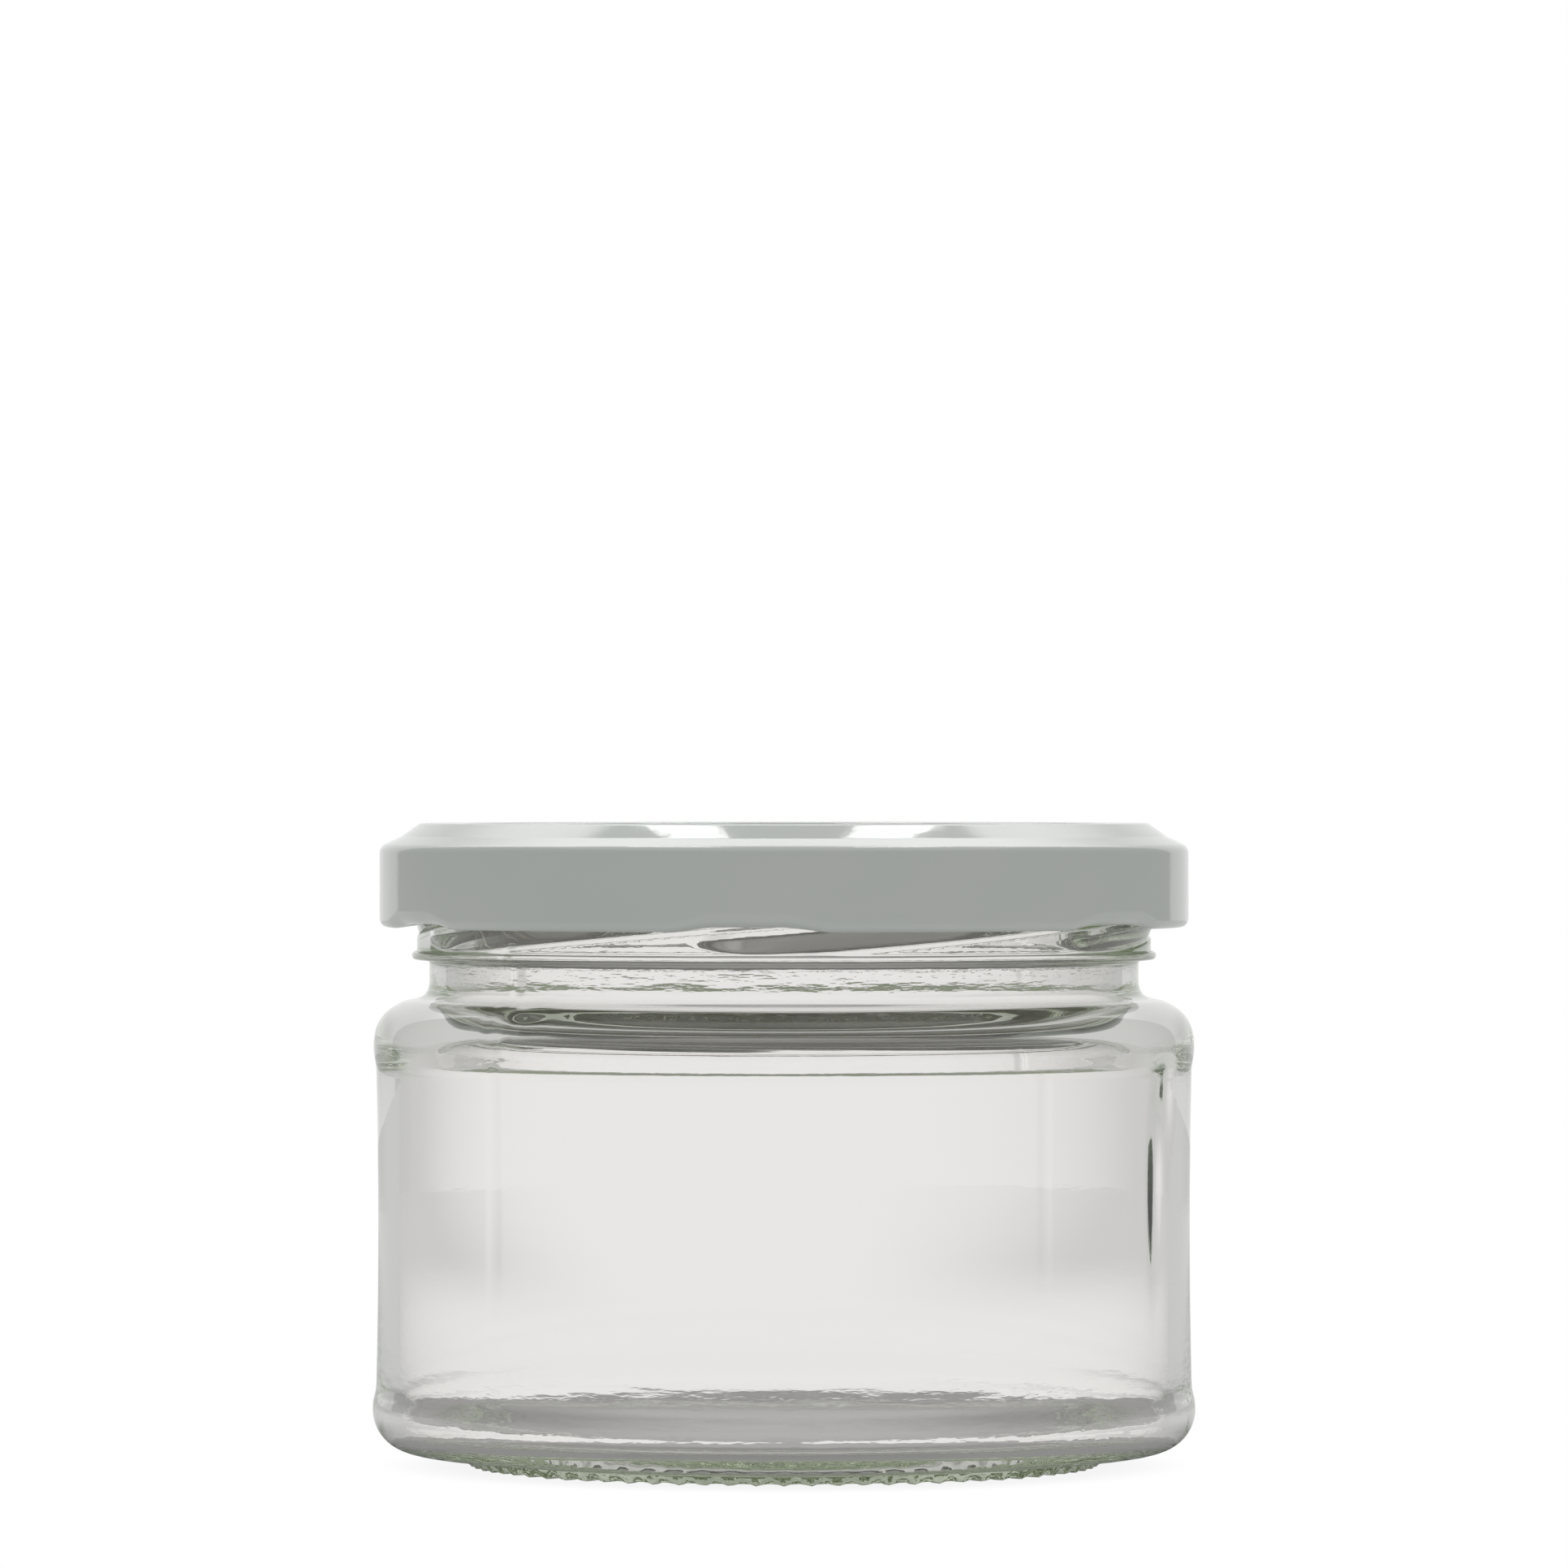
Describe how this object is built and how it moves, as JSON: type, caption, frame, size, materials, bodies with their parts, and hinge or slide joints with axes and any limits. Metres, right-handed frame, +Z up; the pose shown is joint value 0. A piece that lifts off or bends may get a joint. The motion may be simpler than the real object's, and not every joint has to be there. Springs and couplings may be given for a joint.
{
  "type": "twist-off jar",
  "caption": "Squat clear glass food jar with a moulded thread, and a low lacquered tinplate lug lid with a seal that twists up the thread and lifts off.",
  "frame": {"origin": "centre of the ring that the jar stands on, on the floor", "axes": "+Z up along the jar's axis; -Y is the side that the picture shows"},
  "size_m": [0.0864, 0.0864, 0.0674],
  "materials": {
    "clear_glass": "clear flint container glass, fire polished, with a faint green tint",
    "lid_lacquer": "glossy off-white lacquer on thin tinplate",
    "sealing_compound": "soft cream sealing compound, cured in place"
  },
  "bodies": {
    "jar": {"glass_jar": "clear_glass"},
    "seal": {"sealing_ring": "sealing_compound"},
    "lid": {"lid_shell": "lid_lacquer"}
  },
  "joints": [
    {"name": "lid_rise", "type": "slide", "parent": "jar", "child": "seal", "axis": [0, 0, 1], "range_m": [0, 0.02]},
    {"name": "lid_twist", "type": "hinge", "parent": "seal", "child": "lid", "pos_m": [0, 0, 0.06], "axis": [0, 0, 1], "range_deg": [0, 360]}
  ],
  "couplings": [
    {"joint": "lid_rise", "follows": "lid_twist", "m_per_rad": 0.0031799}
  ]
}
